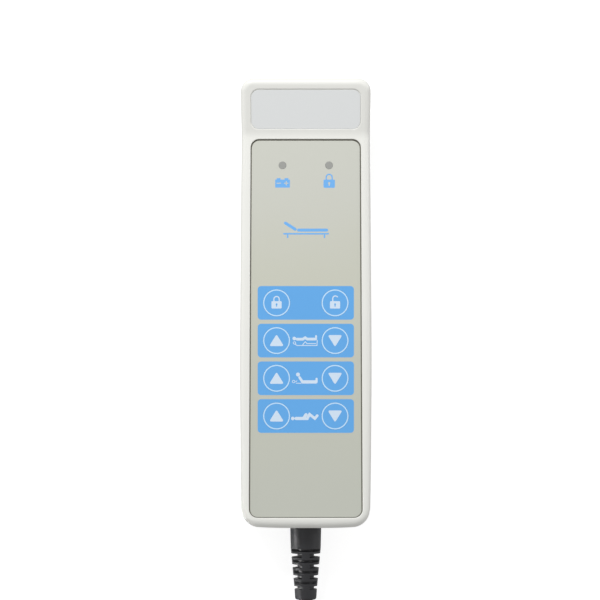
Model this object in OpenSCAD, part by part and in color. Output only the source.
// Wired hand control for an adjustable bed, lying on its back with the keypad up.
// +Y points to the head of the control, +X to its right side seen from the front, +Z up.
// The origin is under the middle of the housing, on the surface it lies on.

/* [Housing] */
// Length of the housing from its head to its cable end
body_len = 199; // [195:1:205]
// Greatest width of the housing, at its belly
body_w = 58.4; // [57.6:0.2:60]
// Height of the keypad face above the back
face_z = 30; // [30:0.5:31]
// Wall thickness of the side walls
wall = 2.4; // [2:0.1:2.6]
// How steeply the head rises towards the user, in degrees
head_tilt = 16; // [12:1:18]
// Where the head starts to rise
crease_y = 75; // [74.5:0.1:75.5]

/* [Rail hook] */
// Clear height of the slot behind the head
slot_gap = 15.2; // [14:0.1:15.4]
// Thickness of the hook's tongue
tongue_t = 3.2; // [2.8:0.1:3.4]
// Width of the hook
hook_w = 36; // [30:1:38]
// Where the slot starts, behind the head
slot_y = 48; // [46.5:0.5:50]
// Tip of the tongue
tongue_tip_y = 62; // [60:0.5:64]

/* [Keypad] */
// Depth of the recess that the keypad film lies in
recess_depth = 0.9; // [0.7:0.05:1]
// Thickness of the keypad film
film_t = 0.5; // [0.4:0.05:0.6]
// Gap between the film and the wall of its recess
film_gap = 0.55; // [0.4:0.05:0.7]
// Distance between the two columns of keys
key_pitch_x = 25.9; // [25.5:0.1:26.5]
// Distance between two rows of keys
key_pitch_y = 16.7; // [16:0.1:17]
// Height of the top row of keys along the housing
key_row_y = 0.5; // [0:0.1:1]
// Radius of a key
key_r = 5.9; // [5.5:0.1:5.9]
// How far a key travels
key_travel = 0.4; // [0.3:0.05:0.4]

/* [Cable] */
// Diameter of the cable
cable_d = 6.2; // [6:0.1:6.3]
// Height of the cable above the back where it leaves the housing
cable_z = 13; // [12.5:0.5:13.5]
// Length of the strain relief outside the housing
relief_len = 33; // [32:0.5:33]
// Straight length of the hank's runs
hank_run = 66; // [64:1:66]
// Radius of the plug's grip
plug_r = 7.6; // [7.2:0.1:7.6]

/* [Hidden] */
KEYS = ["lock", "unlock", "height_up", "height_down",
        "back_up", "back_down", "leg_up", "leg_down"];
FIXED = ["front_housing", "rear_housing", "housing_seal", "hanger_hook", "hook_screws",
         "housing_screws", "screw_plugs", "head_label", "keypad_film", "indicator_lenses",
         "keypad_mat", "circuit_board", "board_screws", "switch_bodies", "status_leds",
         "controller_chip", "board_capacitors", "cable_header", "cable_connector",
         "cable_cores", "cable_clamp", "clamp_screws", "cable_entry", "strain_relief",
         "cable_lead", "cable_hank", "cable_tail", "hank_ties", "plug_boot", "plug_body",
         "plug_sleeve", "plug_insulator", "plug_pins"];
$fn = 64;
eps = 0.01;
slab_t = 0.1;

// Housing heights: the two shells meet at split_z
split_z = 21;
floor_z = 2.4;
ceiling_z = face_z - 2.6;
recess_z = face_z - recess_depth;
film_top_z = recess_z + film_t;
slot_top_z = tongue_t + slot_gap;
tail_y = -body_len / 2;
top_y = body_len / 2;
// The rear shell is solid from here to the head's end
head_block_y = 71;

// Board stack, from the board up to the keys
board_t = 1.6;
board_w = 46.8;
board_end_y = -83;
board_len = 152;
board_top_z = split_z + board_t;
switch_w = 6;
switch_h = 1.9;
switch_floor_t = 0.7;
switch_top_z = board_top_z + switch_h;
mat_w = 39;
mat_t = 0.5;
flange_top_z = ceiling_z - 0.2;
flange_t = 0.8;
flange_r = 6.9;
boss_len = 1;
stem_top_z = flange_top_z - flange_t - boss_len;
stem_low_z = board_top_z + switch_floor_t + key_travel + 0.2;
stem_r = 1.75;
key_hole_r = key_r + 0.2;

// Keypad film: a slightly tapered, rounded panel
panel_top_y = 73;
panel_end_y = -94.7;
panel_top_w = 24.4;
panel_end_w = 25.2;
panel_r = 3.8;
lens_r = 1.7;
lens_hole_r = lens_r + 0.05;
LENSES = [[-10.3, 61.4], [10.3, 61.4]];

// Head label, measured along the sloping face from the crease
label_w = 24.3;
label_r = 3.5;
label_start = 2.5;
label_end = 20.5;
label_depth = 0.45;
label_t = 0.25;

// Screws
HOUSING_SCREWS = [for (x = [-21.5, 21.5], y = [-86.5, 40]) [x, y]];
HEAD_SCREWS = [[-21.5, 86], [21.5, 86]];
HOOK_SCREWS = [[-11, 93.4], [11, 93.4]];
BOARD_SCREWS = [for (x = [-20.8, 20.8], y = [-70, 14]) [x, y]];
screw_r = 1.5;
screw_hole_r = screw_r + 0.2;
screw_head_r = 2.8;
screw_head_h = 1.6;
head_hole_r = screw_head_r + 0.3;
// How deep the holes over the housing screws are, and the holes over the hook screws
screw_well = 5.2;
hook_well = 4.6;
boss_r = 3.2;

// Cable inside the housing: its stripped end, the clamp over it and the socket on the board
core_y = -86;
core_r = 0.5;
header_y = -70;
clamp_y = -92.5;
clamp_w = 22;
clamp_t = 4;
cable_fit_r = cable_d / 2 + 0.05;
CLAMP_SCREWS = [for (x = [-8, 8]) [x, clamp_y + clamp_t / 2]];

// Strain relief: a collar, a slotted taper and a plain end, held by a flange and a neck
flange_out_r = 8;
neck_r = 5;
collar_len = 10;
taper_end = 27.7;

// Hank: eight strands in two columns and four layers, folded round two ends
strand = 6.3;
tie_t = 0.8;
tie_w = 8;
hank_r = 28.45;
hank_hollow = 15.85;
hank_top_z = tie_t + 4 * strand;
hank_near_y = -213;
hank_far_y = hank_near_y - hank_run;
hank_mid_y = (hank_near_y + hank_far_y) / 2;

// Free route of the cable, from the strain relief to the hank
LEAD = [[0, -132.5, 13], [0, -138, 12.9], [0.3, -144, 12.4], [1.2, -150, 11.2],
        [3, -156, 9.5], [6, -162, 7.6], [9.8, -168, 5.9], [13.8, -174, 4.7],
        [17.6, -180, 4.1], [20.9, -186, 3.95], [23.3, -192, 3.95], [24.8, -198.5, 3.95],
        [25.3, -206, 3.95], [25.3, -213, 3.95]];
// Free route from the top of the hank's near end into the plug
TAIL = [[17.2, -196.7, 29.3], [18.9, -199.7, 30.3], [20.2, -203.2, 31.4], [21, -206.7, 32.3],
        [21.2, -210.4, 33.2], [21, -214.4, 33.9], [20.9, -218.4, 34.3], [20.85, -224, 34.4]];

// Plug, lying along the right run of the hank with its pins away from the housing
plug_x = 20.85;
plug_z = hank_top_z + tie_t + plug_r;
boot_y = -224;
grip_y = -242;
sleeve_y = -268;
tip_y = -278;
sleeve_r = 6.6;
sleeve_t = 0.5;
insulator_t = 2.4;
pin_circle_r = 4.5;
pin_r = 0.7;
pin_len = 6.4;

// ---- helper functions ----

function unit(v) = v / norm(v);

// A corner b between a and c, rounded with radius r in n steps, or left sharp
function corner(a, b, c, r, n) =
    r <= 0 ? [b] :
    let (u = unit(a - b), v = unit(c - b), half = acos(u * v) / 2,
         m = b + unit(u + v) * r / sin(half),
         p = b + u * r / tan(half), q = b + v * r / tan(half),
         a0 = atan2(p[1] - m[1], p[0] - m[0]), a1 = atan2(q[1] - m[1], q[0] - m[0]),
         turn = a1 - a0 > 180 ? a1 - a0 - 360 : a1 - a0 < -180 ? a1 - a0 + 360 : a1 - a0)
    [for (i = [0:n]) m + r * [cos(a0 + turn * i / n), sin(a0 + turn * i / n)]];

// A polygon whose corners [x, y, radius] are rounded
function rounded(pts, n = 8) =
    let (k = len(pts))
    [for (i = [0:k - 1])
        for (p = corner([pts[(i + k - 1) % k][0], pts[(i + k - 1) % k][1]],
                        [pts[i][0], pts[i][1]],
                        [pts[(i + 1) % k][0], pts[(i + 1) % k][1]], pts[i][2], n)) p];

// Right half of the housing's outline, from the cable end to the head
function right_side(inset) =
    let (w = body_w / 2 - inset, b = tail_y + inset, t = top_y - inset)
    [[8, b, 0], [21, b + 0.35, 0], [w - 0.8, b + 0.9, max(8 - inset, 1)],
     [w - 0.35, -72, 0], [w, -29, 0], [w - 0.3, 25, 0], [w - 0.7, 70, 0],
     [w - 0.5, t, max(5.3 - inset, 1)]];
function mirrored(pts) = [for (i = [len(pts) - 1:-1:0]) [-pts[i][0], pts[i][1], pts[i][2]]];
function outline(inset) = rounded(concat(right_side(inset), mirrored(right_side(inset))));

// The keypad film's outline, smaller by inset
function panel(inset) =
    let (t = panel_top_w - inset, e = panel_end_w - inset, r = panel_r - inset / 2)
    rounded([[e, panel_end_y + inset, r], [t, panel_top_y - inset, r],
             [-t, panel_top_y - inset, r], [-e, panel_end_y + inset, r]]);

// The head label's outline, smaller by gap all round
function label_outline(gap) =
    let (w = label_w - gap, low = label_start + gap, high = label_end - gap, r = label_r - gap * 2 / 3)
    rounded([[w, low, r], [w, high, r], [-w, high, r], [-w, low, r]]);

function key_xy(i) = [(i % 2 == 0 ? -1 : 1) * key_pitch_x / 2,
                      key_row_y - floor(i / 2) * key_pitch_y];

// A tube that follows a list of points
function ring(path, i, r, sides) =
    let (last = len(path) - 1,
         dir = unit(path[min(i + 1, last)] - path[max(i - 1, 0)]),
         side = unit(cross(dir, [0, 0, 1])), up = cross(side, dir))
    [for (s = [0:sides - 1])
        path[i] + r * (cos(360 * s / sides) * side + sin(360 * s / sides) * up)];
module tube(path, r, sides = 10) {
    n = len(path);
    points = [for (i = [0:n - 1]) for (p = ring(path, i, r, sides)) p];
    walls = [for (i = [0:n - 2], s = [0:sides - 1])
        let (a = i * sides + s, b = i * sides + (s + 1) % sides)
        [a, a + sides, b + sides, b]];
    near = [for (s = [0:sides - 1]) s];
    far = [for (s = [sides - 1:-1:0]) (n - 1) * sides + s];
    polyhedron(points, concat([near], walls, [far]), convexity = 8);
}

module at(places) {
    for (p = places) {
        translate([p[0], p[1], 0]) children();
    }
}
module slab(z, inset) {
    translate([0, 0, z - slab_t]) linear_extrude(slab_t) polygon(outline(inset));
}
module along_x(width) {
    translate([-width / 2, 0, 0]) rotate([90, 0, 90]) linear_extrude(width) children();
}
// Turns a shape built up +Z so that it runs towards the cable end at height z
module along_cable(y, z, x = 0) {
    translate([x, y, z]) rotate([90, 0, 0]) children();
}
module along_plug(y) {
    along_cable(y, plug_z, plug_x) children();
}
module tube_z(r_out, r_in, z0, z1) {
    difference() {
        translate([0, 0, z0]) cylinder(r = r_out, h = z1 - z0);
        translate([0, 0, z0 - 1]) cylinder(r = r_in, h = z1 - z0 + 2);
    }
}

// ---- housing ----

// The sloping plane of the head, with a shape drawn on it from the crease up
module on_head_face() {
    translate([0, crease_y, face_z]) rotate([head_tilt, 0, 0]) children();
}
function head_top(inset, depth) =
    let (w = body_w / 2 - 0.6 - inset,
         t = (top_y - inset - crease_y - depth * sin(head_tilt)) / cos(head_tilt))
    rounded([[w, 0, 0], [w, t, max(5.3 - inset, 1)], [-w, t, max(5.3 - inset, 1)], [-w, 0, 0]]);
module head_solid() {
    head_low = [for (p = outline(0)) if (p[1] >= 60) p];
    hull() {
        translate([0, 0, split_z]) linear_extrude(face_z - 5 - split_z) polygon(head_low);
        on_head_face() translate([0, 0, -2.4]) linear_extrude(0.2) polygon(head_top(0.5, 2.4));
        on_head_face() translate([0, 0, -0.9]) linear_extrude(0.2) polygon(head_top(1.7, 0.9));
        on_head_face() translate([0, 0, -0.2]) linear_extrude(0.2) polygon(head_top(3.6, 0.2));
    }
}
module body_cap() {
    hull() {
        slab(split_z + slab_t, 0);
        slab(face_z - 3.8, 0);
        slab(face_z - 1.6, 0.7);
        slab(face_z - 0.5, 1.9);
        slab(face_z, 3.6);
    }
}
module front_housing() color("#e6e7e2") {
    rise = tan(head_tilt);
    inner_y = top_y - wall;
    difference() {
        union() {
            body_cap();
            head_solid();
        }
        // Hollow under the keypad and under the sloping head
        translate([0, 0, split_z - 1]) linear_extrude(ceiling_z - split_z + 1)
            polygon([for (p = outline(wall)) [p[0], min(p[1], inner_y)]]);
        along_x(2 * (body_w / 2 - wall - 3)) polygon([[crease_y - 1, ceiling_z - 1],
            [crease_y, ceiling_z], [inner_y - 3, ceiling_z + (inner_y - 3 - crease_y) * rise],
            [inner_y - 3, ceiling_z - 1]]);
        // Recess for the film, key holes and lens holes
        translate([0, 0, recess_z]) linear_extrude(5) polygon(panel(0));
        for (i = [0:7]) {
            translate([key_xy(i)[0], key_xy(i)[1], ceiling_z - 1]) cylinder(r = key_hole_r, h = 5);
        }
        at(LENSES) translate([0, 0, ceiling_z - 1]) cylinder(r = lens_hole_r, h = 5);
        on_head_face() translate([0, 0, -label_depth]) linear_extrude(3)
            polygon(label_outline(0));
    }
    // Screw bosses
    at(HOUSING_SCREWS) tube_z(boss_r, screw_r, split_z, ceiling_z);
    at(HEAD_SCREWS) tube_z(boss_r, screw_r, split_z, ceiling_z + 2);
    at(HOOK_SCREWS) tube_z(3, screw_r, split_z, ceiling_z + 2);
    at(BOARD_SCREWS) tube_z(2.4, 1, board_top_z, ceiling_z);
}

module slot_cut() {
    along_x(80) polygon(rounded([[38, -1, 0], [38, 0, 0], [slot_y, 0, 5],
        [slot_y, slot_top_z, 3], [120, slot_top_z, 0], [120, -1, 0]]));
}
module cable_hole() {
    along_cable(tail_y + 4, cable_z) cylinder(r = neck_r + 0.05, h = 6);
}
module rear_housing() color("#e1e2dd") {
    difference() {
        hull() {
            slab(split_z, 0);
            slab(3, 0);
            slab(1.1, 0.7);
            slab(slab_t, 2.6);
        }
        slot_cut();
        // Hollow, with a shelf over the rail slot and solid behind the head
        difference() {
            translate([0, 0, floor_z]) linear_extrude(split_z) polygon(outline(wall));
            translate([-40, slot_y - wall, 0]) cube([80, 80, slot_top_z + 2]);
            translate([-40, head_block_y, 0]) cube([80, 40, 40]);
        }
        seal_groove();
        cable_hole();
        at(HOUSING_SCREWS) translate([0, 0, -1]) cylinder(r = head_hole_r, h = 1 + screw_well);
        at(HEAD_SCREWS) translate([0, 0, slot_top_z - 1]) cylinder(r = head_hole_r, h = 1 + screw_head_h);
        at(concat(HEAD_SCREWS, HOOK_SCREWS)) cylinder(r = screw_hole_r, h = 40);
    }
    difference() {
        at(HOUSING_SCREWS) tube_z(3.8, screw_hole_r, floor_z, split_z);
        at(HOUSING_SCREWS) cylinder(r = head_hole_r, h = screw_well);
    }
    // Cradle under the cable, with a pilot hole for each clamp screw
    difference() {
        translate([-clamp_w / 2, clamp_y, floor_z - 0.4]) cube([clamp_w, clamp_t, cable_z - floor_z + 0.4]);
        along_cable(-80, cable_z) cylinder(r = cable_fit_r, h = 20);
        at(CLAMP_SCREWS) translate([0, 0, 5]) cylinder(r = 1.2, h = 20);
    }
}
module seal_groove() {
    translate([0, 0, split_z - 0.8]) linear_extrude(2) difference() {
        polygon(outline(0.9));
        polygon(outline(1.8));
    }
}
module housing_seal() color("#3a3d40") {
    translate([0, 0, split_z - 0.8]) linear_extrude(0.8) difference() {
        polygon(outline(0.9));
        polygon(outline(1.8));
    }
}

// ---- rail hook ----

module hanger_hook() color("#dcddd8") {
    root_y = 88;
    end_y = top_y - 0.6;
    difference() {
        along_x(hook_w) polygon(rounded([[tongue_tip_y, 0, 1.4], [end_y, 0, 6],
            [end_y, slot_top_z, 0], [root_y, slot_top_z, 0], [root_y, tongue_t, 3],
            [tongue_tip_y, tongue_t, 1.4]]));
        at(HOOK_SCREWS) translate([0, 0, -1]) cylinder(r = screw_head_r + 0.1, h = 1 + hook_well);
        at(HOOK_SCREWS) cylinder(r = screw_hole_r, h = 40);
    }
}
module screw(head_z, tip_z) {
    difference() {
        translate([0, 0, head_z]) cylinder(r = screw_head_r, h = screw_head_h);
        for (a = [0, 90]) {
            rotate([0, 0, a]) translate([-1.6, -0.3, head_z - 1]) cube([3.2, 0.6, 1.9]);
        }
    }
    translate([0, 0, head_z + screw_head_h - eps])
        cylinder(r = screw_r - 0.02, h = tip_z - head_z - screw_head_h);
}
module hook_screws() color("#b9bcc0") {
    at(HOOK_SCREWS) screw(hook_well - screw_head_h, 27);
}
module housing_screws() color("#b9bcc0") {
    at(HOUSING_SCREWS) screw(screw_well - screw_head_h, 25.5);
    at(HEAD_SCREWS) screw(slot_top_z, 27);
}
module screw_plugs() color("#d6d7d2") {
    at(HOUSING_SCREWS) translate([0, 0, 0.3]) cylinder(r = screw_head_r + 0.28, h = 2.2);
}

// ---- keypad ----

module head_label() color("#dadcdc") {
    on_head_face() translate([0, 0, -label_depth]) linear_extrude(label_t) polygon(label_outline(0.15));
}
module keypad_film() color("#c8c9bd") {
    difference() {
        translate([0, 0, recess_z]) linear_extrude(film_t) polygon(panel(film_gap));
        for (i = [0:7]) {
            translate([key_xy(i)[0], key_xy(i)[1], 0]) cylinder(r = key_hole_r, h = 50);
        }
        at(LENSES) cylinder(r = lens_hole_r, h = 50);
    }
}
module indicator_lenses() color("#9fa09c") {
    at(LENSES) {
        translate([0, 0, board_top_z + 3]) cylinder(r = lens_r, h = film_top_z - board_top_z - 3);
        translate([0, 0, ceiling_z - 0.9]) cylinder(r = lens_r + 0.6, h = 0.9);
    }
}
module key(i) color("#64a9e8") {
    translate([key_xy(i)[0], key_xy(i)[1], 0]) {
        translate([0, 0, flange_top_z - eps]) cylinder(r = key_r, h = film_top_z - flange_top_z + eps);
        translate([0, 0, flange_top_z - flange_t]) cylinder(r = flange_r, h = flange_t);
        translate([0, 0, stem_top_z]) cylinder(r = 2.2, h = boss_len + eps);
    }
}
module stem(i) color("#2b2c2e") {
    translate([key_xy(i)[0], key_xy(i)[1], stem_low_z]) cylinder(r = stem_r, h = stem_top_z - stem_low_z);
}
module keypad_mat() color("#8d9092") {
    margin = 9;
    difference() {
        translate([-mat_w / 2, key_row_y - 3 * key_pitch_y - margin, switch_top_z])
            cube([mat_w, 3 * key_pitch_y + 2 * margin, mat_t]);
        for (i = [0:7]) {
            translate([key_xy(i)[0], key_xy(i)[1], 0]) cylinder(r = 2.7, h = 50);
        }
    }
}

// ---- circuit board ----

module circuit_board() color("#2f6b3c") {
    difference() {
        translate([-board_w / 2, board_end_y, split_z]) cube([board_w, board_len, board_t]);
        at(HOUSING_SCREWS) cylinder(r = 4.3, h = 50);
        at(BOARD_SCREWS) cylinder(r = 1.2, h = 50);
    }
}
module board_screws() color("#c4a35a") {
    at(BOARD_SCREWS) {
        translate([0, 0, split_z - 1.2]) cylinder(r = 2, h = 1.2);
        translate([0, 0, split_z - eps]) cylinder(r = 0.98, h = 4.8);
    }
}
module switch_bodies() color("#3c3d40") {
    for (i = [0:7]) {
        translate([key_xy(i)[0], key_xy(i)[1], board_top_z]) difference() {
            translate([-switch_w / 2, -switch_w / 2, 0]) cube([switch_w, switch_w, switch_h]);
            translate([0, 0, switch_floor_t]) cylinder(r = stem_r + 0.15, h = 5);
        }
    }
}
module status_leds() color("#e8e4b0") {
    at(LENSES) {
        translate([0, 0, board_top_z]) cylinder(r = 1.9, h = 0.6);
        translate([0, 0, board_top_z + 0.6 - eps]) cylinder(r = 1.5, h = 1.6);
    }
}
module controller_chip() color("#27282a") {
    translate([-4, -16, split_z - 1.8]) cube([8, 10.5, 1.8]);
}
module board_capacitors() color("#b08d57") {
    for (x = [-9, -6, 6, 9], y = [-14, -8]) {
        translate([x - 0.8, y - 0.4, split_z - 0.8]) cube([1.6, 0.8, 0.8]);
    }
}

// ---- cable inside the housing ----

module cable_header() color("#ece8da") {
    difference() {
        translate([-6, header_y, split_z - 5.2]) cube([12, 8, 5.2]);
        translate([-5, header_y - 1, split_z - 4.4]) cube([10, 4.5, 3.4]);
    }
}
module cable_connector() color("#f4f2ea") {
    translate([-4.9, header_y - 6, split_z - 4.3]) cube([9.8, 9.4, 3.2]);
}
module cable_cores() color("#a33b32") {
    for (i = [0:5]) {
        from = [(i - 2.5) * 0.9, core_y, cable_z + (i % 2 == 0 ? -1.1 : 1.1)];
        to = [(i - 2.5) * 1.5, header_y - 6, split_z - 2.7];
        way = to - from;
        translate(from)
            rotate([0, acos(way[2] / norm(way)), atan2(way[1], way[0])])
                cylinder(r = core_r, h = norm(way), $fn = 24);
    }
}
module cable_clamp() color("#55585c") {
    difference() {
        translate([-clamp_w / 2, clamp_y, cable_z + 0.3]) cube([clamp_w, clamp_t, 4.6]);
        along_cable(-80, cable_z) cylinder(r = cable_fit_r, h = 20);
        at(CLAMP_SCREWS) cylinder(r = 1.4, h = 40);
    }
}
module clamp_screws() color("#b9bcc0") {
    at(CLAMP_SCREWS) {
        translate([0, 0, 7]) cylinder(r = 1.18, h = cable_z - 2.1);
        translate([0, 0, cable_z + 4.9]) cylinder(r = 2.4, h = 1.5);
    }
}
module cable_entry() color("#1f2022") {
    along_cable(core_y, cable_z) cylinder(r = cable_d / 2, h = core_y - tail_y + relief_len);
}

// ---- strain relief ----

// Outer radius of the strain relief, s from the housing
function relief_r(s) = s < collar_len ? 7 - 0.025 * s :
    s < taper_end ? 6.75 - (s - collar_len) * 0.093 : 5.1 - (s - taper_end) * 0.065;
module strain_relief() color("#2c2d30") {
    slot_t = 1.15;
    pitch = 2.42;
    first_slot = 10.15;
    side_bridge = 1.8;
    front_bridge = 2.2;
    core_r = 3.75;
    along_cable(tail_y, cable_z) difference() {
        rotate_extrude() polygon(concat(
            [[cable_d / 2 + 0.03, -wall - 2.2], [flange_out_r, -wall - 2.2], [flange_out_r, -wall],
             [neck_r, -wall], [neck_r, 0], [6.6, 0], [6.99, 0.5]],
            [for (s = [collar_len, taper_end, relief_len - 0.6]) [relief_r(s), s]],
            [[relief_r(relief_len) - 0.5, relief_len], [cable_d / 2 + 0.03, relief_len]]));
        // Slots cut in turn from front and back, and from the two sides
        for (k = [0:7]) {
            translate([0, 0, first_slot + k * pitch]) difference() {
                cylinder(r = 12, h = slot_t);
                translate([0, 0, -1]) cylinder(r = core_r, h = slot_t + 2);
                if (k % 2 == 0) {
                    translate([-15, -front_bridge, -1]) cube([30, 2 * front_bridge, slot_t + 2]);
                } else {
                    translate([-side_bridge, -15, -1]) cube([2 * side_bridge, 30, slot_t + 2]);
                }
            }
        }
    }
}

// ---- free cable, hank and plug ----

module cable_lead() color("#1f2022") {
    tube(LEAD, cable_d / 2);
}
module run_outline(r) {
    translate([-r, hank_far_y]) square([2 * r, hank_run]);
    translate([0, hank_near_y]) circle(r = r);
    translate([0, hank_far_y]) circle(r = r);
}
module cable_hank() color("#1f2022") {
    translate([0, 0, tie_t]) linear_extrude(4 * strand) difference() {
        run_outline(hank_r);
        run_outline(hank_hollow);
    }
}
module cable_tail() color("#1f2022") {
    tube(TAIL, cable_d / 2);
}
module hank_ties() color("#3b3c3f") {
    run_w = hank_r - hank_hollow;
    for (x = [-hank_r, hank_hollow]) {
        translate([x, hank_mid_y + tie_w / 2, tie_t]) rotate([90, 0, 0])
            linear_extrude(tie_w) difference() {
                translate([-tie_t, -tie_t]) square([run_w + 2 * tie_t, 4 * strand + 2 * tie_t]);
                square([run_w, 4 * strand]);
            }
    }
}
module plug_boot() color("#26272a") {
    long = boot_y - grip_y;
    along_plug(boot_y) difference() {
        rotate_extrude() polygon([[0, 0], [4.1, 0], [4.3, 0.4], [5.4, long], [0, long]]);
        for (k = [0:3]) {
            translate([0, 0, 3 + 3.4 * k]) tube_z(9, 3.7, 0, 1.1);
        }
    }
}
module plug_body() color("#26272a") {
    long = grip_y - sleeve_y;
    along_plug(grip_y) rotate_extrude()
        polygon([[0, 0], [6.2, 0], [plug_r - 0.4, 2.4], [plug_r, 4.5], [plug_r, long - 1.2],
                 [plug_r - 0.6, long], [0, long]]);
}
module plug_sleeve() color("#c9ccd0") {
    along_plug(sleeve_y) tube_z(sleeve_r, sleeve_r - sleeve_t, 0, sleeve_y - tip_y);
}
module plug_insulator() color("#1c1d1f") {
    along_plug(sleeve_y) cylinder(r = sleeve_r - sleeve_t, h = insulator_t);
}
module plug_pins() color("#d3b25a") {
    along_plug(sleeve_y - insulator_t) for (k = [0:7]) {
        rotate([0, 0, 45 + k * 270 / 7]) translate([pin_circle_r, 0, 0]) cylinder(r = pin_r, h = pin_len);
    }
}

front_housing();
rear_housing();
housing_seal();
hanger_hook();
hook_screws();
housing_screws();
screw_plugs();
head_label();
keypad_film();
indicator_lenses();
keypad_mat();
circuit_board();
board_screws();
switch_bodies();
status_leds();
controller_chip();
board_capacitors();
cable_header();
cable_connector();
cable_cores();
cable_clamp();
clamp_screws();
cable_entry();
strain_relief();
cable_lead();
cable_hank();
cable_tail();
hank_ties();
plug_boot();
plug_body();
plug_sleeve();
plug_insulator();
plug_pins();
for (i = [0:7]) {
    key(i);
    stem(i);
}
